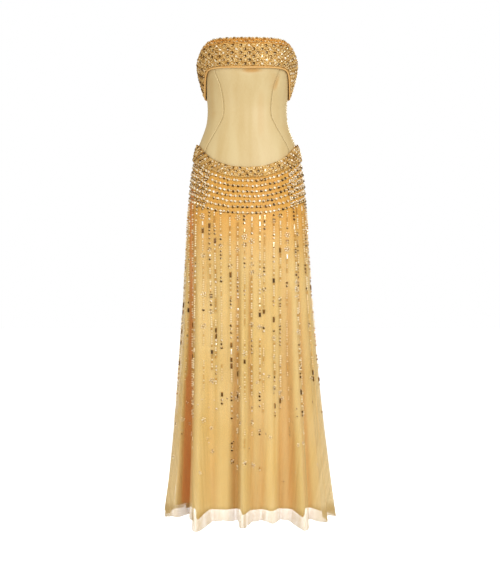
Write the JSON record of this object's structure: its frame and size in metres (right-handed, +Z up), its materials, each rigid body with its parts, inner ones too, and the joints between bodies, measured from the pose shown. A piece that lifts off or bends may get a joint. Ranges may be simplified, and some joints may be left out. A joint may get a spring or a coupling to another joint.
{
  "type": "strapless evening gown",
  "caption": "Floor-length strapless gown with a boned bodice, a turned-over jewelled cuff, a dropped hip seam and a softly folded net skirt over a lining.",
  "frame": {"origin": "middle of the waist, where the bodice grips the wearer", "axes": "+Z up to the neckline, -Y to the front, +X to the right of someone who faces the gown"},
  "size_m": [0.5181, 0.4313, 1.4294],
  "materials": {
    "champagne_satin": "soft satin sheen",
    "gold_net": "fine sheer net with beads",
    "gold_satin_lining": "soft satin",
    "gold_jewelled_cloth": "cloth covered with cut stones",
    "gilt_zip_metal": "polished gilt"
  },
  "bodies": {
    "gown": {"bodice_centre_front": "champagne_satin", "bodice_side_front_left": "champagne_satin", "bodice_side_front_right": "champagne_satin", "bodice_side_back_left": "champagne_satin", "bodice_side_back_right": "champagne_satin", "bodice_back_left": "champagne_satin", "bodice_back_right": "champagne_satin", "cuff_front": "gold_jewelled_cloth", "cuff_back_left": "gold_jewelled_cloth", "cuff_back_right": "gold_jewelled_cloth", "cuff_piping": "champagne_satin", "hip_trim_front": "gold_jewelled_cloth", "hip_trim_back_left": "gold_jewelled_cloth", "hip_trim_back_right": "gold_jewelled_cloth", "skirt_overlay_front": "gold_net", "skirt_overlay_back_left": "gold_net", "skirt_overlay_back_right": "gold_net", "skirt_lining_front": "gold_satin_lining", "skirt_lining_back_left": "gold_satin_lining", "skirt_lining_back_right": "gold_satin_lining", "zip_chain": "gilt_zip_metal", "zip_slider": "gilt_zip_metal"},
    "pull_tab": {"zip_pull": "gilt_zip_metal"}
  },
  "joints": [
    {"name": "pull_tab_swing", "type": "hinge", "parent": "gown", "child": "pull_tab", "pos_m": [0, 0.08595, 0.03134], "axis": [1, 0, 0], "range_deg": [0, 150]}
  ]
}
